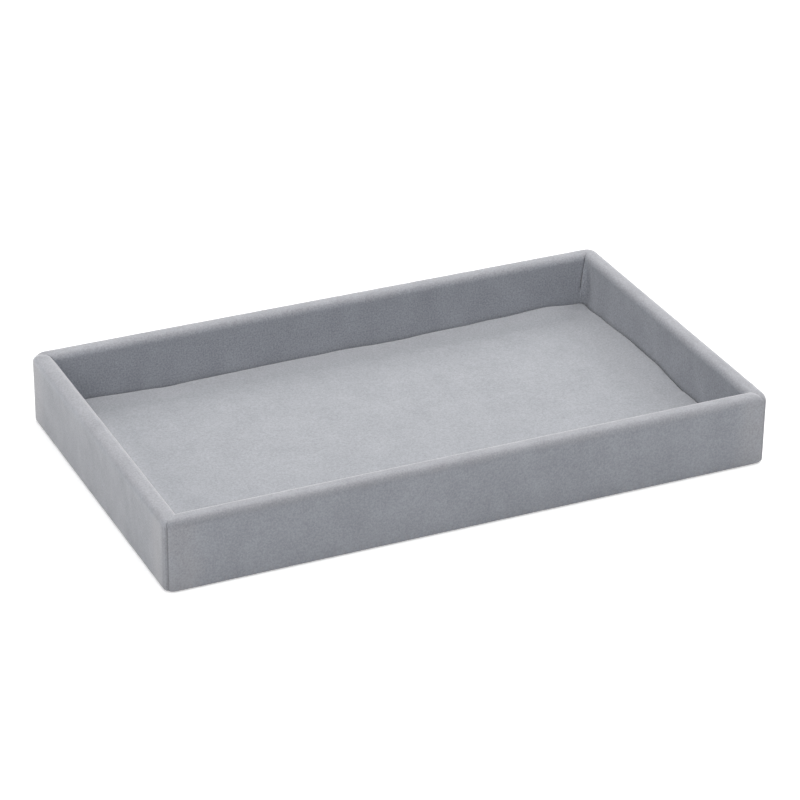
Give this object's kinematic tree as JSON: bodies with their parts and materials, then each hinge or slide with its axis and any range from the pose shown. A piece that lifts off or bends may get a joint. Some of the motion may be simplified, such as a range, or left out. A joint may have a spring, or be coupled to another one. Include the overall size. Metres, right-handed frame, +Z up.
{
  "type": "jewelry tray",
  "caption": "Low open rectangular tray of boards wrapped in grey velvet, with rounded rims and a velvet-covered card pad that lifts off its floor.",
  "frame": {"origin": "centre of the underside, on the surface that the tray stands on", "axes": "+X along the length, +Y along the width towards the back wall, +Z up"},
  "size_m": [0.21, 0.125, 0.025],
  "materials": {
    "fibreboard": "bare medium-density fibreboard, sawn and sanded",
    "grey_velvet": "short-pile grey velvet, matt with a soft sheen",
    "lining_paper": "dark grey flocked lining paper, matt",
    "greyboard": "bare grey card, matt",
    "foam_sheet": "thin white closed-cell foam sheet, matt"
  },
  "bodies": {
    "tray": {"base_board": "fibreboard", "front_wall_board": "fibreboard", "back_wall_board": "fibreboard", "left_wall_board": "fibreboard", "right_wall_board": "fibreboard", "front_wall_velvet": "grey_velvet", "back_wall_velvet": "grey_velvet", "left_wall_velvet": "grey_velvet", "right_wall_velvet": "grey_velvet", "underside_sheet": "lining_paper"},
    "pad": {"pad_board": "greyboard", "pad_foam": "foam_sheet", "pad_velvet": "grey_velvet"}
  },
  "joints": [
    {"name": "pad_lift", "type": "slide", "parent": "tray", "child": "pad", "axis": [0, 0, 1], "range_m": [0, 0.025]}
  ]
}
